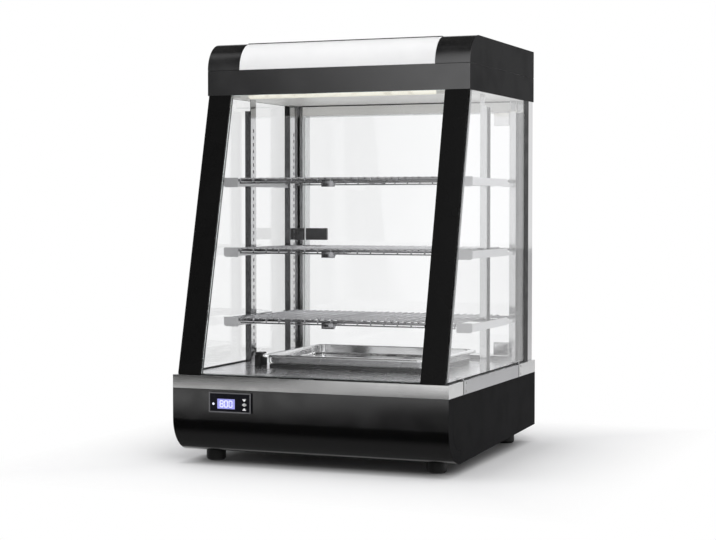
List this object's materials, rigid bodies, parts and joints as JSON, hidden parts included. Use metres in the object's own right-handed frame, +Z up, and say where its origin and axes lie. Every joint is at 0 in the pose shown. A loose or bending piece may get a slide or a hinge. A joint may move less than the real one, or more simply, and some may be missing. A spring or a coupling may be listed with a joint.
{
  "type": "heated display case",
  "caption": "Countertop heated display case with a leaning glass front, lit hood, wire shelves, a warm tray, a rear glass door and a digital controller.",
  "frame": {"origin": "on the counter, under the middle of the base", "axes": "+Z up, -Y towards the customer, +X to the right as the customer sees it"},
  "size_m": [0.5, 0.5146, 0.7315],
  "materials": {
    "black_steel": "satin black powder coat",
    "stainless": "brushed",
    "polished_stainless": "polished",
    "chrome_wire": "bright plated",
    "clear_glass": "clear toughened",
    "opal_plastic": "opal",
    "seal_rubber": "matte",
    "black_plastic": "fine texture",
    "bezel_plastic": "glossy",
    "display_lens": "back-lit",
    "key_plastic": "smooth",
    "lamp_glass": "frosted",
    "cast_plate": "black cast",
    "lining_steel": "grey satin",
    "board": "fibre board"
  },
  "bodies": {
    "case": {"base_front_panel": "black_steel", "base_side_right": "black_steel", "base_side_left": "black_steel", "base_floor": "black_steel", "base_back_panel": "black_steel", "feet": "seal_rubber", "deck_plate": "polished_stainless", "trim_front": "stainless", "trim_rear": "stainless", "trim_side_right": "stainless", "trim_side_left": "stainless", "post_right": "black_steel", "post_left": "black_steel", "front_glass": "clear_glass", "side_glass_right": "clear_glass", "side_glass_left": "clear_glass", "glass_seals": "seal_rubber", "rear_post_right": "stainless", "rear_post_left": "stainless", "rear_header": "stainless", "rear_sill": "stainless", "door_catch": "black_plastic", "hood_valance": "black_steel", "hood_side_strip_right": "black_steel", "hood_side_strip_left": "black_steel", "hood_end_right": "black_steel", "hood_end_left": "black_steel", "hood_diffuser": "opal_plastic", "hood_top_panel": "black_steel", "hood_back_panel": "black_steel", "ceiling_panel": "lining_steel", "lamp_trough": "lining_steel", "lamp_tube": "lamp_glass", "sign_lamp": "lamp_glass", "heat_plate": "cast_plate", "insulation_board": "board", "probe_guard": "black_plastic", "controller_bezel": "bezel_plastic", "controller_body": "black_plastic", "controller_display": "display_lens", "power_inlet": "black_plastic", "switch_frame": "black_plastic", "upright_front_right": "stainless", "upright_front_left": "stainless", "upright_rear_right": "stainless", "upright_rear_left": "stainless", "shelf_arms_1": "stainless", "shelf_arms_2": "stainless", "shelf_arms_3": "stainless"},
    "door": {"door_glass": "clear_glass", "door_hinges": "polished_stainless", "door_handle": "black_plastic"},
    "tray": {"food_tray": "polished_stainless"},
    "rocker": {"switch_rocker": "black_plastic"},
    "wire_shelf_1": {"shelf_1": "chrome_wire"},
    "wire_shelf_2": {"shelf_2": "chrome_wire"},
    "wire_shelf_3": {"shelf_3": "chrome_wire"},
    "up_key": {"key_up": "key_plastic"},
    "set_key": {"key_set": "key_plastic"},
    "down_key": {"key_down": "key_plastic"}
  },
  "joints": [
    {"name": "door_swing", "type": "hinge", "parent": "case", "child": "door", "pos_m": [0.203, 0.2245, 0.39], "axis": [0, 0, -1], "range_deg": [0, 90]},
    {"name": "shelf_1_lift", "type": "slide", "parent": "case", "child": "wire_shelf_1", "axis": [0, 0, 1], "range_m": [0, 0.03]},
    {"name": "shelf_2_lift", "type": "slide", "parent": "case", "child": "wire_shelf_2", "axis": [0, 0, 1], "range_m": [0, 0.03]},
    {"name": "shelf_3_lift", "type": "slide", "parent": "case", "child": "wire_shelf_3", "axis": [0, 0, 1], "range_m": [0, 0.03]},
    {"name": "tray_lift", "type": "slide", "parent": "case", "child": "tray", "axis": [0, 0, 1], "range_m": [0, 0.03]},
    {"name": "up_key_press", "type": "slide", "parent": "case", "child": "up_key", "axis": [0, 1, 0], "range_m": [0, 0.0006], "stiffness_N_per_m": 800, "springref_m": -0.0003},
    {"name": "set_key_press", "type": "slide", "parent": "case", "child": "set_key", "axis": [0, 1, 0], "range_m": [0, 0.0006], "stiffness_N_per_m": 800, "springref_m": -0.0003},
    {"name": "down_key_press", "type": "slide", "parent": "case", "child": "down_key", "axis": [0, 1, 0], "range_m": [0, 0.0006], "stiffness_N_per_m": 800, "springref_m": -0.0003},
    {"name": "rocker_tilt", "type": "hinge", "parent": "case", "child": "rocker", "pos_m": [0.092, 0.252, 0.084], "axis": [-1, 0, 0], "range_deg": [0, 16]}
  ]
}
